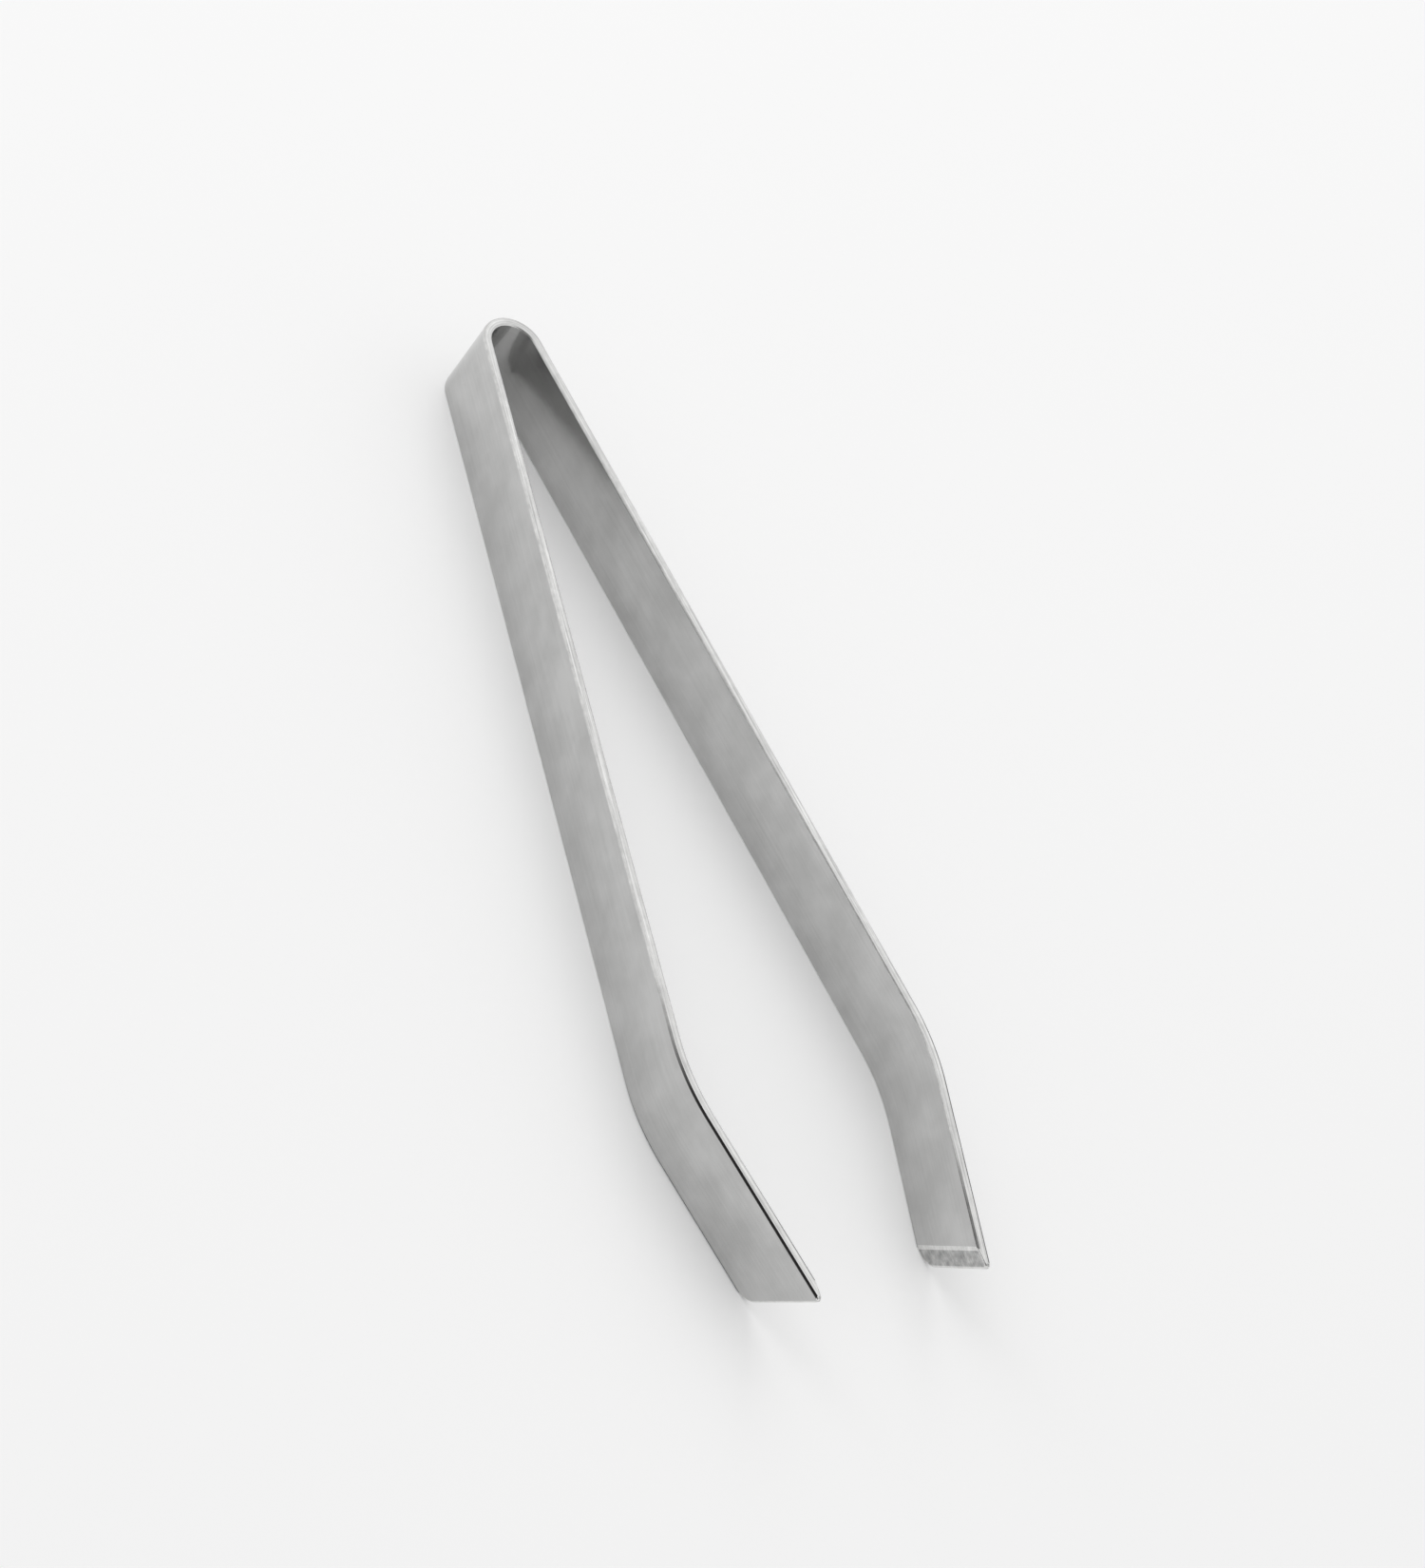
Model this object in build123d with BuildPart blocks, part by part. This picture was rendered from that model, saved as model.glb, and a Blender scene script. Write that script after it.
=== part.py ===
"""One-piece strip tweezers with a U bow, two diverging arms and slanted, bevelled tips.

The tweezers lie on the long edges of the strip.  X is the opening between the arms, Z is
the strip's width and the tips point along -Y.  The origin is the crown of the bow, in the
middle of the strip's thickness, on the surface that the tweezers lie on.
Millimetres and degrees.
"""
import os
from math import cos, radians, sin, tan

from build123d import *

# The strip that the whole tool is bent from
STRIP_WIDTH = 11.0
STRIP_THICKNESS = 1.2

# Bow: the U bend, and the straight leg that stays with it on each side
BOW_RADIUS = 3.6            # centreline of the U bend
BOW_LEG = 16.0              # end of the U bend to the point where the arm flexes

# Arms
ARM_ANGLE = 8.0             # each arm away from the middle plane, at rest
ARM_LENGTH = 99.7           # end of the U bend to the corner of the inward bend
BEND_ANGLE = 20.0           # how far the tip section turns back towards the middle
BEND_RADIUS = 29.0          # centreline of the inward bend

# Tips
TIP_LENGTH = 23.0           # corner of the inward bend to the end, along the lower edge
TIP_OVERHANG = 5.4          # how much further the upper edge reaches
LOWER_CORNER_RADIUS = 2.6
UPPER_CORNER_RADIUS = 0.5
BEVEL_LENGTH = 2.2          # ground flat on the inner face, measured square to the end
BEVEL_DEPTH = 0.6           # how much of the thickness it takes away at the end

# Fit between the round end of an arm and the hollow end of the bow's leg
FLEX_CLEARANCE = 0.05

# Worked-out places
half_thickness = STRIP_THICKNESS / 2
bow_centre = Vector(0, -BOW_RADIUS)
arc_end = bow_centre + Vector(BOW_RADIUS, 0).rotate(Axis.Z, ARM_ANGLE)
arm_direction = Vector(sin(radians(ARM_ANGLE)), -cos(radians(ARM_ANGLE)))
flex_point = arc_end + arm_direction * BOW_LEG
bend_corner = arc_end + arm_direction * ARM_LENGTH
bend_start = bend_corner - arm_direction * BEND_RADIUS * tan(radians(BEND_ANGLE / 2))
tip_direction = arm_direction.rotate(Axis.Z, -BEND_ANGLE)
tip_inward = tip_direction.cross(Vector(0, 0, 1))
tip_reach = TIP_LENGTH + TIP_OVERHANG
end_line = tip_direction * TIP_OVERHANG + Vector(0, 0, STRIP_WIDTH)
end_middle = bend_corner + tip_direction * TIP_LENGTH + end_line * 0.5
past_the_part = 2 * (ARM_LENGTH + tip_reach)


def on_other_side(point):
    """The same point on the other side of the middle plane."""
    return Vector(-point.X, point.Y, point.Z)


# Bow: the U bend with both legs, each leg hollowed where its arm flexes
with BuildPart() as bow:
    with BuildSketch(Plane.XY):
        with BuildLine():
            Line(flex_point, arc_end)
            CenterArc(bow_centre, BOW_RADIUS, ARM_ANGLE, 180 - 2 * ARM_ANGLE)
            Line(on_other_side(arc_end), on_other_side(flex_point))
        trace(line_width=STRIP_THICKNESS)
        with Locations(flex_point, on_other_side(flex_point)):
            Circle(half_thickness + FLEX_CLEARANCE, mode=Mode.SUBTRACT)
    extrude(amount=STRIP_WIDTH)

# Right arm: round end at the flexing point, straight run, inward bend and tip section
with BuildPart() as right_arm:
    with BuildSketch(Plane.XY):
        with BuildLine():
            Line(flex_point, bend_start)
            bend = JernArc(bend_start, arm_direction, BEND_RADIUS, -BEND_ANGLE)
            Line(bend @ 1, bend_corner + tip_direction * tip_reach)
        trace(line_width=STRIP_THICKNESS)
        with Locations(flex_point):
            Circle(half_thickness)
    extrude(amount=STRIP_WIDTH)

    # slanted end with two rounded corners, drawn in the plane of the tip section
    with BuildSketch(Plane(bend_corner, x_dir=tip_direction, z_dir=tip_inward)):
        with BuildLine():
            Polyline(
                (-past_the_part, 0),
                (TIP_LENGTH, 0),
                (tip_reach, STRIP_WIDTH),
                (-past_the_part, STRIP_WIDTH),
                close=True,
            )
        make_face()
        fillet(vertices().sort_by(Axis.X)[-2], LOWER_CORNER_RADIUS)
        fillet(vertices().sort_by(Axis.X)[-1], UPPER_CORNER_RADIUS)
    extrude(amount=past_the_part, both=True, mode=Mode.INTERSECT)

    # bevel ground on the inner face, running along the slanted end
    from_end = tip_inward.cross(end_line)
    inner_end = end_middle + tip_inward * half_thickness
    with BuildSketch(Plane(inner_end, x_dir=from_end, z_dir=end_line)):
        with BuildLine():
            Polyline(
                (BEVEL_LENGTH, 0),
                (-BEVEL_LENGTH, -2 * BEVEL_DEPTH),
                (-BEVEL_LENGTH, STRIP_THICKNESS),
                (BEVEL_LENGTH, STRIP_THICKNESS),
                close=True,
            )
        make_face()
    extrude(amount=end_line.length, both=True, mode=Mode.SUBTRACT)

# Left arm: the same arm on the other side of the middle plane
with BuildPart() as left_arm:
    mirror(right_arm.part, about=Plane.YZ)

bow.part.label = "bow"
right_arm.part.label = "right_arm"
left_arm.part.label = "left_arm"

os.makedirs("parts", exist_ok=True)
for piece in (bow, right_arm, left_arm):
    export_step(piece.part, f"parts/{piece.part.label}.step")
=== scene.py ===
"""Satin stainless strip tweezers resting on their long edges on a pale studio floor.

Three pieces stand for the one bent strip: the bow, and an arm on each side that flexes
just after the bow.  Metres; the origin is at the crown of the bow, tips along -Y, Z up.
"""
from math import atan, atan2, cos, pi, radians, sin, tan

import bmesh
import bpy
from mathutils import Matrix, Vector


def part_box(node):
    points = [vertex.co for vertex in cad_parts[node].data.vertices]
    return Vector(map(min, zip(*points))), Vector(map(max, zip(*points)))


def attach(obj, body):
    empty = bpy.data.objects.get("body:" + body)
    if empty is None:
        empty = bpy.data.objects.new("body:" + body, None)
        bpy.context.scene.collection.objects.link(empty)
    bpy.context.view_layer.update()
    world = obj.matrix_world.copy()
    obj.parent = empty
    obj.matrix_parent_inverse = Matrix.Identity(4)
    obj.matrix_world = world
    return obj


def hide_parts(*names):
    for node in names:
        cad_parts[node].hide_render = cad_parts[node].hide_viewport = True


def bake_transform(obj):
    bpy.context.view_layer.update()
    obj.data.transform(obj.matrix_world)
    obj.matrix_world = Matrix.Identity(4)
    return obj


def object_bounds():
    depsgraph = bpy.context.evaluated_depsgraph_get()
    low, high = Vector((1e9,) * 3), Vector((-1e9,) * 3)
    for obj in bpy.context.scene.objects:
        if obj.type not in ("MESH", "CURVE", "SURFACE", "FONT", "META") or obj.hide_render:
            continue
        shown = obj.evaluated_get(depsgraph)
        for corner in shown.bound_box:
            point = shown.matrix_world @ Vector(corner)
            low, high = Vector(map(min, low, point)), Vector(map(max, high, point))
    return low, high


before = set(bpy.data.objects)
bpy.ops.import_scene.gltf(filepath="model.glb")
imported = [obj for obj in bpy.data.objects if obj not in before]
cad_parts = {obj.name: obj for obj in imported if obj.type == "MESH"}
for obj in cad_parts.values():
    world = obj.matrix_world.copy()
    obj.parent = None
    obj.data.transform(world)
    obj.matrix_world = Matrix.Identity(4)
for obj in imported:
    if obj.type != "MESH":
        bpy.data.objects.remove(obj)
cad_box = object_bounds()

UP = Vector((0, 0, 1))

# The strip that the tweezers are bent from
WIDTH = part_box("bow")[1][2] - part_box("bow")[0][2]
THICKNESS = 0.0012
CORNER_BREAK = 0.00024

# Its bends, along the middle of its thickness
BOW_RADIUS = 0.0036
ARM_ANGLE = radians(8.0)
ARM_LENGTH = 0.0997
BEND_ANGLE = radians(20.0)
BEND_RADIUS = 0.029

# Its slanted, ground tips
TIP_LENGTH = 0.023
TIP_OVERHANG = 0.0054
LOWER_CORNER_RADIUS = 0.0026
UPPER_CORNER_RADIUS = 0.0005
BEVEL_LENGTH = 0.0022
BEVEL_DEPTH = 0.0006

# The straight leg's first stretch belongs to the bow; then the arm flexes about its hinge
BOW_LEG = 0.016
SEAM = 0.0025
FLEX_START = 0.003
FLEX_END = 2 * BOW_LEG - FLEX_START

# How finely the strip is divided along each stretch, and its rounded corners across
BOW_STEPS = 48
BOW_LEG_STEPS = 2
FLEX_STEPS = 32
LEG_STEPS = 6
BEND_STEPS = 20
TIP_CORNER_STEPS = 12
BREAK_STEPS = 3

# Corners sharper than the first angle are broken; those below the second are shaded smooth
BREAK_FROM = radians(12)
SMOOTH_UP_TO = radians(40)

# What counts as the same place and as one point
SAME_PLACE = 1e-6
ONE_POINT = 1e-7

# How alike two unit vectors are, as their dot product, to point the same way ...
MOSTLY_ALIKE = 0.9
ALIKE = 0.99
CLOSELY_ALIKE = 0.995

# ... and how unlike, to count as square to each other
SQUARE = 0.02
ROUGHLY_SQUARE = 0.05

# Where the painted shade on the long corners begins and ends, in metres along the strip from the
# crown, and the share of their brightness that is left; it stands for the dark reflection along
# the corners at the tips
OUTER_CORNER_PAINTED_SHADE = (0.088, 0.108, 0.07)
INNER_CORNER_PAINTED_SHADE = (0.112, 0.128, 0.3)

# The studio: a pale floor, a softbox, and a room that is dark, for the metal alone, on the
# side that the camera looks from
FLOOR_SIZE = 6
FLOOR_WHITE = 0.92
FLOOR_LIFT = 0.09
ROOM_LIGHT = 0.62
DARK_SIDE = Vector((-0.596, -0.378, 0.709))
DARK_SIDE_CORE = radians(30)
DARK_SIDE_RIM = radians(46)
DARK_SIDE_LIGHT = 0.25
SOFTBOX_PLACE = Vector((0.0, 0.95, 1.05))
SOFTBOX_AIM = Vector((0, -0.065, WIDTH / 2))
SOFTBOX_SIZE = 1.8
SOFTBOX_POWER = 12.0

# The right arm's places and directions, seen from above
arm_outward = Vector((cos(ARM_ANGLE), sin(ARM_ANGLE), 0))
arm_direction = Vector((sin(ARM_ANGLE), -cos(ARM_ANGLE), 0))
tip_outward = Vector((cos(ARM_ANGLE - BEND_ANGLE), sin(ARM_ANGLE - BEND_ANGLE), 0))
tip_direction = Vector((sin(ARM_ANGLE - BEND_ANGLE), -cos(ARM_ANGLE - BEND_ANGLE), 0))
bow_centre = Vector((0, -BOW_RADIUS, 0))
leg_start = bow_centre + arm_outward * BOW_RADIUS
flex_end = leg_start + arm_direction * FLEX_END
bend_corner = leg_start + arm_direction * ARM_LENGTH
bend_setback = BEND_RADIUS * tan(BEND_ANGLE / 2)
bend_start = bend_corner - arm_direction * bend_setback
bend_end = bend_corner + tip_direction * bend_setback
bend_centre = bend_start - arm_outward * BEND_RADIUS

# The slanted end: its upper and lower points, the way past it, its slant from upright, and
# the way that the bevel faces
end_top = bend_corner + tip_direction * (TIP_LENGTH + TIP_OVERHANG) + UP * WIDTH
end_bottom = bend_corner + tip_direction * TIP_LENGTH
past_end = (tip_direction * WIDTH - UP * TIP_OVERHANG).normalized()
slant = atan(TIP_OVERHANG / WIDTH)
bevel_facing = (past_end * BEVEL_DEPTH - tip_outward * BEVEL_LENGTH).normalized()

# The finishes' places in each piece's list of materials
FACE, EDGE, CORNER, OUTER_CORNER, INNER_CORNER, BEVEL, END = range(7)


# ---------------------------------------------------------------- working on a piece

def mirrored(point):
    """The same place or direction on the other side of the middle plane."""
    return Vector((-point.x, point.y, point.z))


def as_on_right(vector, centre):
    """The vector itself where the centre is on the right half, or else its mirror image."""
    return vector.copy() if centre.x > 0 else mirrored(vector)


def edit(piece):
    """Edit mode on one piece alone, with nothing of it selected."""
    bpy.ops.object.select_all(action="DESELECT")
    piece.select_set(True)
    bpy.context.view_layer.objects.active = piece
    bpy.ops.object.mode_set(mode="EDIT")
    bpy.ops.mesh.select_all(action="DESELECT")


def done():
    """Back from edit mode to whole objects."""
    bpy.ops.object.mode_set(mode="OBJECT")


def select_edges(piece, wanted):
    """Selects the edges whose two ends satisfy wanted(point)."""
    bpy.ops.mesh.select_mode(type="EDGE")
    bpy.ops.mesh.select_all(action="DESELECT")
    mesh = bmesh.from_edit_mesh(piece.data)
    for edge in mesh.edges:
        edge.select_set(all(wanted(vertex.co) for vertex in edge.verts))
    bmesh.update_edit_mesh(piece.data)


def select_faces(piece, wanted):
    """Selects the faces that satisfy wanted(centre, normal)."""
    bpy.ops.mesh.select_mode(type="FACE")
    bpy.ops.mesh.select_all(action="DESELECT")
    mesh = bmesh.from_edit_mesh(piece.data)
    for face in mesh.faces:
        face.select_set(wanted(face.calc_center_median(), face.normal))
    bmesh.update_edit_mesh(piece.data)


def cut_tip(arm, where, towards):
    """Cuts the arm's tip by a plane, takes away what lies past it and closes the cut."""
    select_faces(arm, lambda centre, normal: (centre - bend_end).dot(tip_direction) > SAME_PLACE)
    bpy.ops.mesh.bisect(plane_co=where, plane_no=towards, use_fill=True, clear_outer=True)


def face_outwards():
    """Merges what lies together in the edited piece and points its faces outwards."""
    bpy.ops.mesh.select_all(action="SELECT")
    bpy.ops.mesh.remove_doubles(threshold=ONE_POINT)
    bpy.ops.mesh.normals_make_consistent(inside=False)


# ---------------------------------------------------------------- shaping the strip

def start_strip(name, where, direction):
    """A new piece that is only the strip's section so far, upright across the direction."""
    bpy.ops.object.select_all(action="DESELECT")
    bpy.ops.mesh.primitive_plane_add(
        size=1,
        location=where + UP * WIDTH / 2,
        rotation=(pi / 2, 0, atan2(direction.x, -direction.y)),
    )
    piece = bpy.context.object
    piece.name = name
    piece.data.name = name
    for finish in finishes:
        piece.data.materials.append(finish)
    piece.scale = (THICKNESS, WIDTH, 1)
    bpy.ops.object.transform_apply(location=True, rotation=True, scale=True)
    edit(piece)
    bpy.ops.mesh.select_all(action="SELECT")
    return piece


def draw_out(direction, length, steps):
    """Extrudes the selected end of the strip straight on."""
    for _ in range(steps):
        bpy.ops.mesh.extrude_region_move(
            TRANSFORM_OT_translate={"value": direction * length / steps}
        )


def bend(centre, angle, steps):
    """Spins the selected end of the strip round an upright axis."""
    bpy.ops.mesh.spin(steps=steps, angle=angle, center=centre, axis=UP)


def open_seams(piece, seams):
    """Takes off the end faces at the seams, so that the corner break stops there."""
    select_faces(
        piece,
        lambda centre, normal: any(
            abs((centre - where).dot(direction)) < SAME_PLACE
            and abs(normal.dot(direction)) > ALIKE
            for where, direction in seams
        ),
    )
    bpy.ops.mesh.delete(type="FACE")


def break_corners(piece):
    """Rounds the sharp corners, closes the seams again and keeps all of it in the CAD's box."""
    done()
    modifier = piece.modifiers.new("Corner break", "BEVEL")
    modifier.limit_method = "ANGLE"
    modifier.angle_limit = BREAK_FROM
    modifier.width = CORNER_BREAK
    modifier.segments = BREAK_STEPS
    modifier.material = CORNER
    # Clamped, the short edges of the tip's rounded corners would thin it along the whole arm
    modifier.use_clamp_overlap = False
    bpy.ops.object.modifier_apply(modifier=modifier.name)
    edit(piece)
    bpy.ops.mesh.select_all(action="SELECT")
    bpy.ops.mesh.fill_holes(sides=0)
    bpy.ops.mesh.select_all(action="SELECT")
    bpy.ops.mesh.normals_make_consistent(inside=False)
    done()
    lowest, highest = cad_box
    for vertex in piece.data.vertices:
        for axis in range(3):
            vertex.co[axis] = min(max(vertex.co[axis], lowest[axis]), highest[axis])


def make_bow():
    """The U bow with the first stretch of both legs."""
    seam = leg_start + arm_direction * SEAM
    bow = start_strip("bow_strip", seam, arm_direction)
    draw_out(-arm_direction, SEAM, BOW_LEG_STEPS)
    bend(bow_centre, 2 * ARM_ANGLE - pi, BOW_STEPS)
    draw_out(mirrored(arm_direction), SEAM, BOW_LEG_STEPS)
    face_outwards()
    open_seams(bow, ((seam, arm_direction), (mirrored(seam), mirrored(arm_direction))))
    return bow


def round_tip_corner(piece, corner, radius, inside_angle):
    """Rounds the corner of the slanted end that runs through the thickness there."""
    across = corner.dot(tip_direction)
    select_edges(
        piece,
        lambda point: abs(point.dot(tip_direction) - across) < SAME_PLACE
        and abs(point.z - corner.z) < SAME_PLACE,
    )
    offset = radius / tan(inside_angle / 2)
    bpy.ops.mesh.bevel(offset=offset, segments=TIP_CORNER_STEPS, affect="EDGES")


def make_right_arm():
    """The right arm: leg, inward bend, and the tip with its slant, corners and bevel."""
    seam = leg_start + arm_direction * SEAM
    arm = start_strip("right_arm_strip", seam, arm_direction)
    draw_out(arm_direction, FLEX_END - SEAM, FLEX_STEPS)
    draw_out(arm_direction, (bend_start - flex_end).length, LEG_STEPS)
    bend(bend_centre, BEND_ANGLE, BEND_STEPS)
    draw_out(tip_direction, (end_top - bend_end).dot(tip_direction) + BEVEL_LENGTH, 1)
    face_outwards()
    cut_tip(arm, end_bottom, past_end)
    round_tip_corner(arm, end_bottom, LOWER_CORNER_RADIUS, pi / 2 + slant)
    round_tip_corner(arm, end_top, UPPER_CORNER_RADIUS, pi / 2 - slant)
    inner_face = end_bottom - tip_outward * THICKNESS / 2
    cut_tip(arm, inner_face - past_end * BEVEL_LENGTH, bevel_facing)
    face_outwards()
    open_seams(arm, ((seam, arm_direction),))
    return arm


def mirror_arm(right_arm):
    """The left arm: a copy of the right one with its own mesh, turned over across the middle."""
    bpy.ops.object.select_all(action="DESELECT")
    right_arm.select_set(True)
    bpy.context.view_layer.objects.active = right_arm
    bpy.ops.object.duplicate()
    left_arm = bpy.context.object
    left_arm.name = "left_arm_strip"
    left_arm.data.name = "left_arm_strip"
    left_arm.scale = (-1, 1, 1)
    bpy.ops.object.transform_apply(location=False, rotation=False, scale=True)
    edit(left_arm)
    bpy.ops.mesh.select_all(action="SELECT")
    bpy.ops.mesh.normals_make_consistent(inside=False)
    done()
    return left_arm


def smooth(piece):
    """Shades the bends and broken corners smooth, with the broad faces kept flat."""
    bpy.ops.object.select_all(action="DESELECT")
    piece.select_set(True)
    bpy.context.view_layer.objects.active = piece
    bpy.ops.object.shade_smooth_by_angle(angle=SMOOTH_UP_TO)
    modifier = piece.modifiers.new("Flat faces", "WEIGHTED_NORMAL")
    modifier.mode = "FACE_AREA"
    modifier.keep_sharp = True
    bpy.ops.object.modifier_apply(modifier=modifier.name)


# ---------------------------------------------------------------- the strip laid flat

def laid_flat(point):
    """(length along the strip from the crown, place through the thickness) of a point."""
    spot = Vector((abs(point.x), point.y, 0))
    from_bow = spot - bow_centre
    from_bend = spot - bend_centre
    bow_length = BOW_RADIUS * (pi / 2 - ARM_ANGLE)
    leg_length = ARM_LENGTH - bend_setback
    if from_bow.dot(arm_direction) < 0:
        length = BOW_RADIUS * atan2(from_bow.x, from_bow.y)
        through = from_bow.length - BOW_RADIUS
    elif from_bend.dot(arm_direction) < 0:
        length = bow_length + (spot - leg_start).dot(arm_direction)
        through = (spot - leg_start).dot(arm_outward)
    elif from_bend.dot(tip_direction) < 0:
        turned = from_bend.angle(arm_outward)
        length = bow_length + leg_length + BEND_RADIUS * turned
        through = from_bend.length - BEND_RADIUS
    else:
        bent_length = BEND_RADIUS * BEND_ANGLE
        length = bow_length + leg_length + bent_length + (spot - bend_end).dot(tip_direction)
        through = (spot - bend_end).dot(tip_outward)
    return (length if point.x > 0 else -length), through


def lay_flat(piece):
    """Gives a piece the map "strip": along the strip, and up its face or through its edge."""
    mesh = piece.data
    while mesh.uv_layers:
        mesh.uv_layers.remove(mesh.uv_layers[0])
    strip_map = mesh.uv_layers.new(name="strip")
    for polygon in mesh.polygons:
        on_an_edge = abs(polygon.normal.z) > MOSTLY_ALIKE
        for corner in polygon.loop_indices:
            point = mesh.vertices[mesh.loops[corner].vertex_index].co
            length, through = laid_flat(point)
            strip_map.data[corner].uv = (length, through if on_an_edge else point.z)


def corner_finish_of(centre, normal):
    """Which finish a corner face has: along the strip's outside or inside, or at its end."""
    spot = as_on_right(centre, centre)
    along_tip = as_on_right(normal, centre).dot(tip_direction)
    past_bend = (spot - bend_end).dot(tip_direction) > 0
    at_end = (spot - end_bottom).dot(past_end) > -UPPER_CORNER_RADIUS
    if at_end or past_bend and abs(along_tip) > ROUGHLY_SQUARE:
        return CORNER
    return OUTER_CORNER if laid_flat(centre)[1] > 0 else INNER_CORNER


def finish_of(centre, normal):
    """Which finish any other face has, by the way it points."""
    if abs(normal.z) > ALIKE:
        return EDGE
    if as_on_right(normal, centre).dot(bevel_facing) > CLOSELY_ALIKE:
        return BEVEL
    if abs(normal.z) < SQUARE:
        return FACE
    return END


# ---------------------------------------------------------------- finishes

def link(tree, output, target):
    """Joins one node's output to another's input."""
    tree.links.new(output, target)


def node(tree, kind, **values):
    """A shader node with the settings and input values given."""
    made = tree.nodes.new(kind)
    for name, value in values.items():
        if hasattr(made, name):
            setattr(made, name, value)
        else:
            made.inputs[name.replace("_", " ")].default_value = value
    return made


def new_group(name, inputs):
    """A node group with its inputs (name: default, or None for a vector) and output Value."""
    tree = bpy.data.node_groups.new(name, "ShaderNodeTree")
    for label, default in inputs.items():
        kind = "NodeSocketVector" if default is None else "NodeSocketFloat"
        socket = tree.interface.new_socket(name=label, in_out="INPUT", socket_type=kind)
        if default is not None:
            socket.default_value = default
    tree.interface.new_socket(name="Value", in_out="OUTPUT", socket_type="NodeSocketFloat")
    return tree, tree.nodes.new("NodeGroupInput"), tree.nodes.new("NodeGroupOutput")


def make_streaks():
    """Rolling and grinding marks: lines along X of the place given, in millimetres."""
    tree, given, result = new_group(
        "Streaks", {"Place": None, "Length": 12.0, "Spacing": 0.25, "Roughen": 0.5}
    )
    stretch = node(tree, "ShaderNodeCombineXYZ", Z=0.0)
    along = node(tree, "ShaderNodeMath", operation="DIVIDE")
    across = node(tree, "ShaderNodeMath", operation="DIVIDE")
    along.inputs[0].default_value = 1.0
    across.inputs[0].default_value = 1.0
    link(tree, given.outputs["Length"], along.inputs[1])
    link(tree, given.outputs["Spacing"], across.inputs[1])
    link(tree, along.outputs[0], stretch.inputs["X"])
    link(tree, across.outputs[0], stretch.inputs["Y"])
    scaled = node(tree, "ShaderNodeVectorMath", operation="MULTIPLY")
    link(tree, given.outputs["Place"], scaled.inputs[0])
    link(tree, stretch.outputs[0], scaled.inputs[1])
    noise = node(tree, "ShaderNodeTexNoise", noise_dimensions="2D", Scale=1.0, Detail=4.0)
    link(tree, scaled.outputs[0], noise.inputs["Vector"])
    link(tree, given.outputs["Roughen"], noise.inputs["Roughness"])
    link(tree, noise.outputs["Fac"], result.inputs["Value"])
    return tree


def make_mottle():
    """Soft cloudy variation of a size in millimetres, read from the object's own space."""
    tree, given, result = new_group("Mottle", {"Size": 6.0, "Contrast": 1.0})
    place = tree.nodes.new("ShaderNodeTexCoord")
    frequency = node(tree, "ShaderNodeMath", operation="DIVIDE")
    frequency.inputs[0].default_value = 1000.0
    link(tree, given.outputs["Size"], frequency.inputs[1])
    noise = node(tree, "ShaderNodeTexNoise", Detail=3.0, Roughness=0.55)
    link(tree, place.outputs["Object"], noise.inputs["Vector"])
    link(tree, frequency.outputs[0], noise.inputs["Scale"])
    centred = node(tree, "ShaderNodeMath", operation="SUBTRACT")
    centred.inputs[1].default_value = 0.5
    link(tree, noise.outputs["Fac"], centred.inputs[0])
    spread = node(tree, "ShaderNodeMath", operation="MULTIPLY_ADD", use_clamp=True)
    spread.inputs[2].default_value = 0.5
    link(tree, centred.outputs[0], spread.inputs[0])
    link(tree, given.outputs["Contrast"], spread.inputs[1])
    link(tree, spread.outputs[0], result.inputs["Value"])
    return tree


def placed_group(tree, group, **values):
    """A use of a shared node group, with its own values."""
    made = tree.nodes.new("ShaderNodeGroup")
    made.node_tree = group
    for name, value in values.items():
        made.inputs[name].default_value = value
    return made


def steel(name, dark, light, roughness, streaks, mottle, relief, cloudiness, turn=0.0):
    """A steel finish: colour and roughness follow streaks and mottle, relief the streaks.

    Roughness is given for the dark and the light places, relief in metres, cloudiness as
    the mottle's share, and turn as the angle between the streaks and the strip.
    """
    material = bpy.data.materials.new(name)
    material.use_nodes = True
    tree = material.node_tree
    shader = tree.nodes["Principled BSDF"]
    shader.inputs["Metallic"].default_value = 1.0

    strip_map = node(tree, "ShaderNodeUVMap", uv_map="strip")
    millimetres = node(tree, "ShaderNodeMapping")
    millimetres.inputs["Rotation"].default_value = (0, 0, turn)
    millimetres.inputs["Scale"].default_value = (1000, 1000, 1000)
    link(tree, strip_map.outputs["UV"], millimetres.inputs["Vector"])
    lines = placed_group(tree, STREAKS, **streaks)
    link(tree, millimetres.outputs["Vector"], lines.inputs["Place"])
    clouds = placed_group(tree, MOTTLE, **mottle)

    both = node(tree, "ShaderNodeMix", data_type="FLOAT")
    both.inputs["Factor"].default_value = cloudiness
    link(tree, lines.outputs["Value"], both.inputs[2])
    link(tree, clouds.outputs["Value"], both.inputs[3])
    colour = node(tree, "ShaderNodeValToRGB")
    for stop, (position, shade) in zip(colour.color_ramp.elements, ((0.3, dark), (0.7, light))):
        stop.position = position
        stop.color = (*shade, 1)
    link(tree, both.outputs[0], colour.inputs["Fac"])
    link(tree, colour.outputs["Color"], shader.inputs["Base Color"])
    polish = node(tree, "ShaderNodeMapRange", To_Min=roughness[0], To_Max=roughness[1])
    link(tree, both.outputs[0], polish.inputs["Value"])
    link(tree, polish.outputs["Result"], shader.inputs["Roughness"])
    bump = node(tree, "ShaderNodeBump", Strength=1.0, Distance=relief)
    link(tree, lines.outputs["Value"], bump.inputs["Height"])
    link(tree, bump.outputs["Normal"], shader.inputs["Normal"])
    return material


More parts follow.
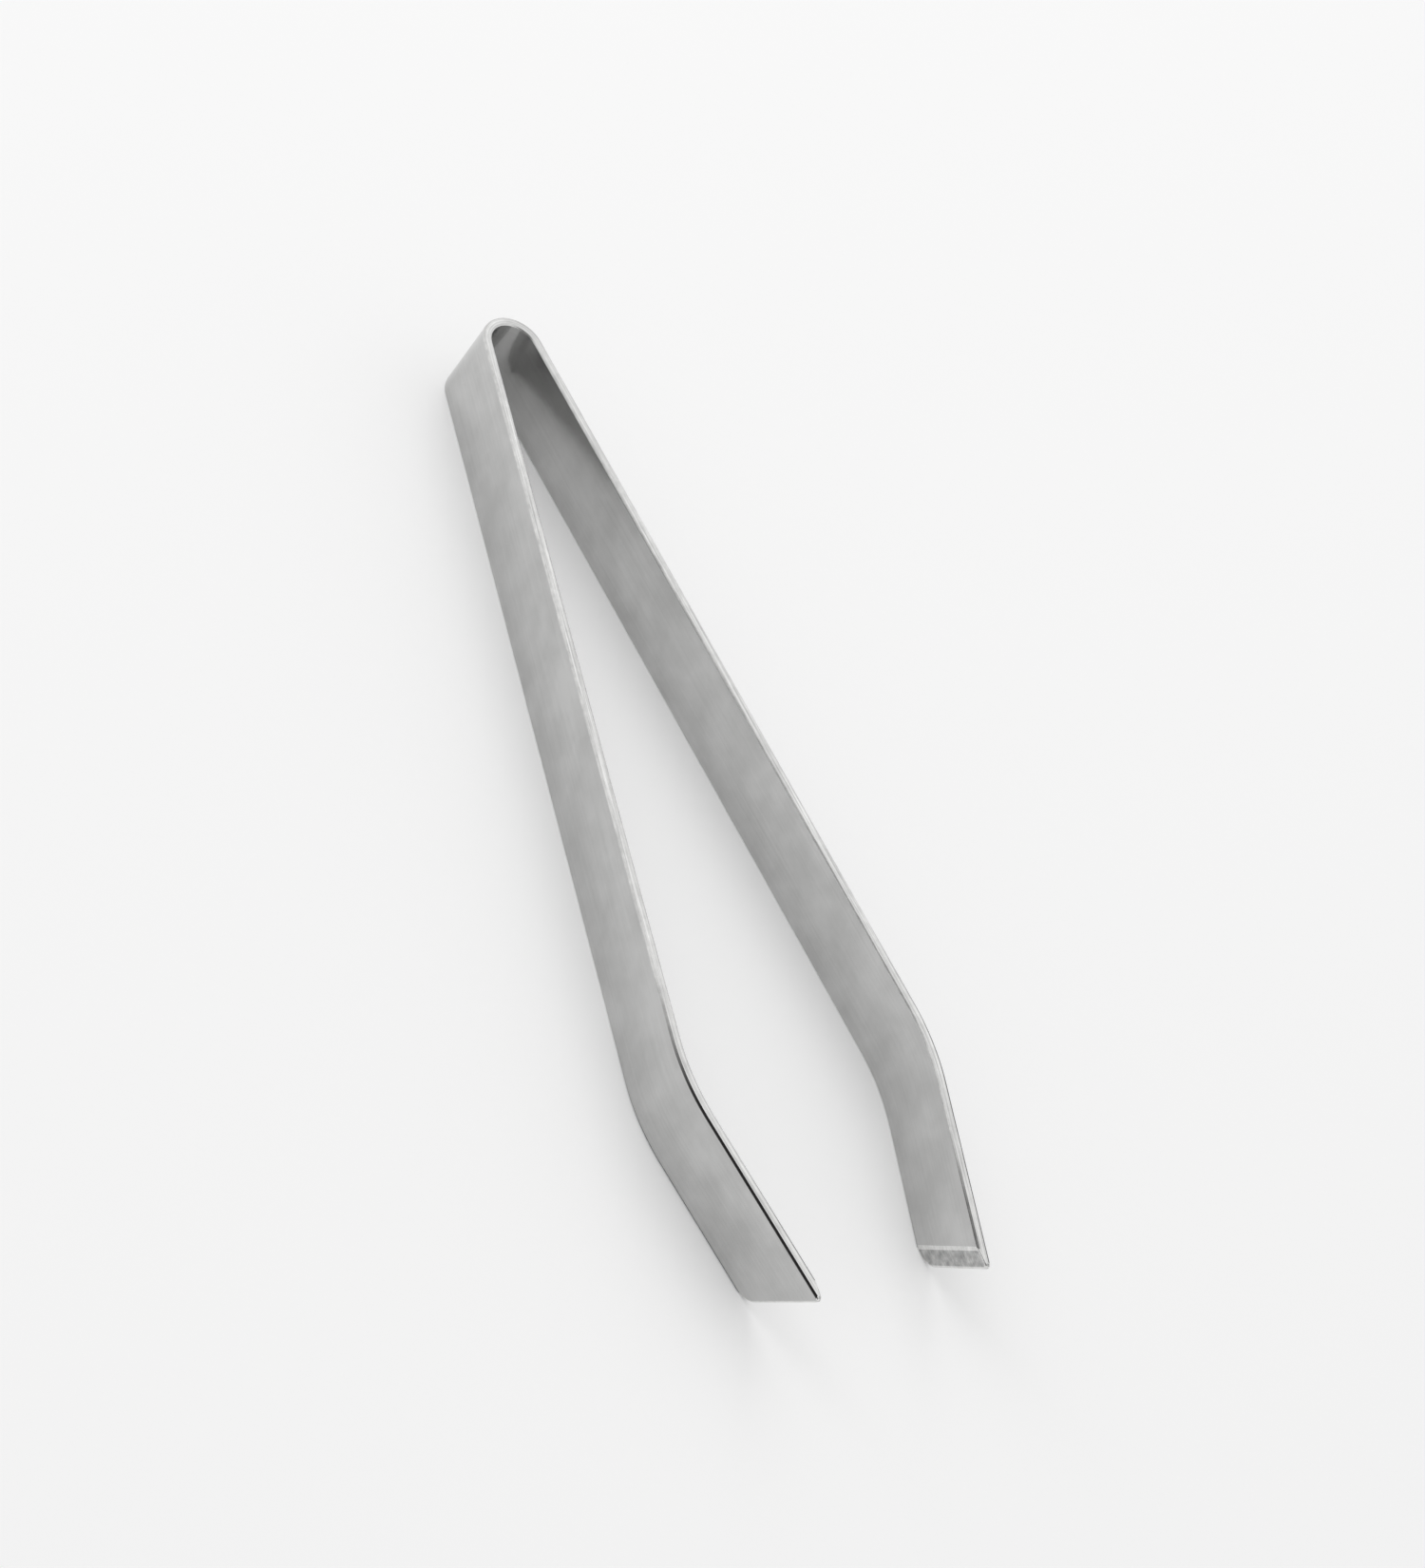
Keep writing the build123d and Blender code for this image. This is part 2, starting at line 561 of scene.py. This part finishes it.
def satin_face():
    """The strip's rolled, satin faces with faint long streaks and mottling."""
    return steel(
        "satin_face", (0.49, 0.49, 0.485), (0.59, 0.59, 0.585), (0.19, 0.14),
        {"Length": 22.0, "Spacing": 0.3, "Roughen": 0.45},
        {"Size": 6.0, "Contrast": 1.5}, 0.0000012, 0.7,
    )


def cut_edge():
    """The long edges, with fine bright and dark lines along them from the cutting."""
    return steel(
        "cut_edge", (0.5, 0.5, 0.495), (0.84, 0.84, 0.83), (0.26, 0.18),
        {"Length": 14.0, "Spacing": 0.28, "Roughen": 0.6},
        {"Size": 1.5, "Contrast": 1.6}, 0.000003, 0.18,
    )


def broken_corner():
    """The corners round the slanted end, with small burrs; their light base colour is a painted
    highlight.
    """
    # Painted highlight: the light colours stand for the glint along the edges
    return steel(
        "broken_corner", (0.62, 0.62, 0.61), (0.85, 0.85, 0.84), (0.2, 0.12),
        {"Length": 3.0, "Spacing": 0.2, "Roughen": 0.7},
        {"Size": 0.9, "Contrast": 1.8}, 0.000003, 0.45,
    )


def long_corner(name, shade_from, shade_to, share_left):
    """A long corner: lighter than the faces on the leg, as a painted highlight, and darker
    towards the tip, as painted shade for the dark reflection there.
    """
    # Painted highlight: the light colours stand for the glint along the corner
    material = steel(
        name, (0.5, 0.5, 0.495), (0.74, 0.74, 0.73), (0.24, 0.16),
        {"Length": 6.0, "Spacing": 0.2, "Roughen": 0.7},
        {"Size": 1.2, "Contrast": 1.6}, 0.000003, 0.4,
    )
    tree = material.node_tree
    shader = tree.nodes["Principled BSDF"]
    streaks_and_highlight_colour = shader.inputs["Base Color"].links[0].from_socket
    strip_map = node(tree, "ShaderNodeUVMap", uv_map="strip")
    along = tree.nodes.new("ShaderNodeSeparateXYZ")
    link(tree, strip_map.outputs["UV"], along.inputs[0])
    length = node(tree, "ShaderNodeMath", operation="ABSOLUTE")
    link(tree, along.outputs["X"], length.inputs[0])
    # Painted shade: the corner's colour darkens towards the tip
    painted_shade_factor = node(tree, "ShaderNodeMapRange", interpolation_type="SMOOTHSTEP")
    painted_shade_factor.inputs["From Min"].default_value = shade_from
    painted_shade_factor.inputs["From Max"].default_value = shade_to
    painted_shade_factor.inputs["To Min"].default_value = 1.0
    painted_shade_factor.inputs["To Max"].default_value = share_left
    link(tree, length.outputs[0], painted_shade_factor.inputs["Value"])
    painted_shade_colour = node(tree, "ShaderNodeVectorMath", operation="SCALE")
    link(tree, streaks_and_highlight_colour, painted_shade_colour.inputs[0])
    link(tree, painted_shade_factor.outputs["Result"], painted_shade_colour.inputs["Scale"])
    link(tree, painted_shade_colour.outputs[0], shader.inputs["Base Color"])
    return material


def ground_bevel():
    """The bevel's grinding lines, square to the slanted end; its dark base colour is partly
    painted shade, for the shadowed floor that the bevel reflects.
    """
    return steel(
        # Painted shade: these dark colours partly stand for the shadowed floor in the bevel's
        # reflection
        "ground_bevel", (0.2, 0.2, 0.195), (0.4, 0.4, 0.395), (0.36, 0.26),
        {"Length": 4.5, "Spacing": 0.3, "Roughen": 0.6},
        {"Size": 2.5, "Contrast": 1.2}, 0.000008, 0.35, turn=slant,
    )


def cut_end():
    """The end face and its rounded corners, as cut and left duller."""
    return steel(
        "cut_end", (0.3, 0.3, 0.3), (0.6, 0.6, 0.59), (0.42, 0.28),
        {"Length": 1.5, "Spacing": 0.15, "Roughen": 0.7},
        {"Size": 0.9, "Contrast": 1.8}, 0.00001, 0.5,
    )


def dress(piece):
    """Gives each face of a piece its finish; the broken corners are marked as such already."""
    for polygon in piece.data.polygons:
        find = corner_finish_of if polygon.material_index == CORNER else finish_of
        polygon.material_index = find(polygon.center, polygon.normal)


# ---------------------------------------------------------------- floor, light, camera

def make_floor():
    """A wide pale floor that shows nearly white and keeps the soft shadow."""
    bpy.ops.object.select_all(action="DESELECT")
    bpy.ops.mesh.primitive_plane_add(size=FLOOR_SIZE, location=(0, 0, 0))
    floor = bpy.context.object
    floor.name = "studio_floor"
    material = bpy.data.materials.new("pale_floor")
    material.use_nodes = True
    tree = material.node_tree
    shader = tree.nodes["Principled BSDF"]
    shader.inputs["Base Color"].default_value = (FLOOR_WHITE, FLOOR_WHITE, FLOOR_WHITE, 1)
    shader.inputs["Roughness"].default_value = 0.9
    shader.inputs["Specular IOR Level"].default_value = 0.0
    shader.inputs["Emission Color"].default_value = (1, 1, 1, 1)
    rays = tree.nodes.new("ShaderNodeLightPath")
    seen = node(tree, "ShaderNodeMath", operation="ADD", use_clamp=True)
    link(tree, rays.outputs["Is Camera Ray"], seen.inputs[0])
    link(tree, rays.outputs["Is Glossy Ray"], seen.inputs[1])
    lift = node(tree, "ShaderNodeMath", operation="MULTIPLY")
    lift.inputs[1].default_value = FLOOR_LIFT
    link(tree, seen.outputs[0], lift.inputs[0])
    link(tree, lift.outputs[0], shader.inputs["Emission Strength"])
    floor.data.materials.append(material)


def make_world():
    """A room that is plain white to the camera, with one darker side that the metal shows."""
    world = bpy.data.worlds.new("studio")
    bpy.context.scene.world = world
    world.use_nodes = True
    tree = world.node_tree
    background = tree.nodes["Background"]
    background.inputs["Color"].default_value = (1, 1, 1, 1)
    rays = tree.nodes.new("ShaderNodeLightPath")

    place = tree.nodes.new("ShaderNodeTexCoord")
    towards = node(tree, "ShaderNodeVectorMath", operation="DOT_PRODUCT")
    towards.inputs[1].default_value = DARK_SIDE
    link(tree, place.outputs["Generated"], towards.inputs[0])
    shown = node(tree, "ShaderNodeMapRange", interpolation_type="SMOOTHSTEP")
    shown.inputs["From Min"].default_value = cos(DARK_SIDE_RIM)
    shown.inputs["From Max"].default_value = cos(DARK_SIDE_CORE)
    shown.inputs["To Min"].default_value = 1.0
    shown.inputs["To Max"].default_value = DARK_SIDE_LIGHT
    link(tree, towards.outputs["Value"], shown.inputs["Value"])

    for_metal = node(tree, "ShaderNodeMix", data_type="FLOAT")
    for_metal.inputs[2].default_value = ROOM_LIGHT
    link(tree, rays.outputs["Is Glossy Ray"], for_metal.inputs["Factor"])
    link(tree, shown.outputs["Result"], for_metal.inputs[3])
    strength = node(tree, "ShaderNodeMix", data_type="FLOAT")
    strength.inputs[3].default_value = 1.0
    link(tree, rays.outputs["Is Camera Ray"], strength.inputs["Factor"])
    link(tree, for_metal.outputs[0], strength.inputs[2])
    link(tree, strength.outputs[0], background.inputs["Strength"])


def make_softbox():
    """A square soft lamp aimed at the middle of the tweezers; the metal doesn't show it."""
    bpy.ops.object.select_all(action="DESELECT")
    bpy.ops.object.light_add(type="AREA", location=SOFTBOX_PLACE)
    lamp = bpy.context.object
    lamp.name = "key_softbox"
    lamp.data.shape = "SQUARE"
    lamp.data.size = SOFTBOX_SIZE
    lamp.data.energy = SOFTBOX_POWER
    lamp.visible_glossy = False
    lamp.rotation_euler = (SOFTBOX_AIM - SOFTBOX_PLACE).to_track_quat("-Z", "Y").to_euler()


def make_camera():
    """The camera: up to the left and beyond the tips, looking 45 degrees down, and rolled."""
    heading = radians(57.576)
    downwards = radians(45.124)
    roll = radians(-43.012)
    forward = Vector((
        sin(heading) * cos(downwards), cos(heading) * cos(downwards), -sin(downwards)
    ))
    level = forward.cross(UP).normalized()
    upright = level.cross(forward)
    camera_up = upright * cos(roll) + level * sin(roll)
    camera_right = forward.cross(camera_up)
    aim = Vector((0.01617, -0.05704, -0.00586))
    distance = 0.46352
    place = Matrix((camera_right, camera_up, -forward)).transposed().to_4x4()
    place.translation = aim - forward * distance
    bpy.ops.object.camera_add()
    camera = bpy.context.object
    camera.matrix_world = place
    camera.data.sensor_fit = "VERTICAL"
    camera.data.sensor_height = 36.0
    camera.data.lens = 87.624
    camera.data.clip_start = 0.01
    bpy.context.scene.camera = camera


# ---------------------------------------------------------------- making it all

STREAKS = make_streaks()
MOTTLE = make_mottle()
finishes = [
    satin_face(),
    cut_edge(),
    broken_corner(),
    long_corner("outer_corner", *OUTER_CORNER_PAINTED_SHADE),
    long_corner("inner_corner", *INNER_CORNER_PAINTED_SHADE),
    ground_bevel(),
    cut_end(),
]

bpy.context.scene.view_settings.view_transform = "Standard"
make_camera()
make_world()
make_floor()
make_softbox()

bow = make_bow()
break_corners(bow)
right_arm = make_right_arm()
break_corners(right_arm)
left_arm = mirror_arm(right_arm)

for piece in (bow, right_arm, left_arm):
    smooth(piece)
    lay_flat(piece)
    dress(piece)

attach(bow, "bow")
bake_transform(right_arm)
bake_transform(left_arm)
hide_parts("bow")
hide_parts("right_arm")
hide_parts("left_arm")
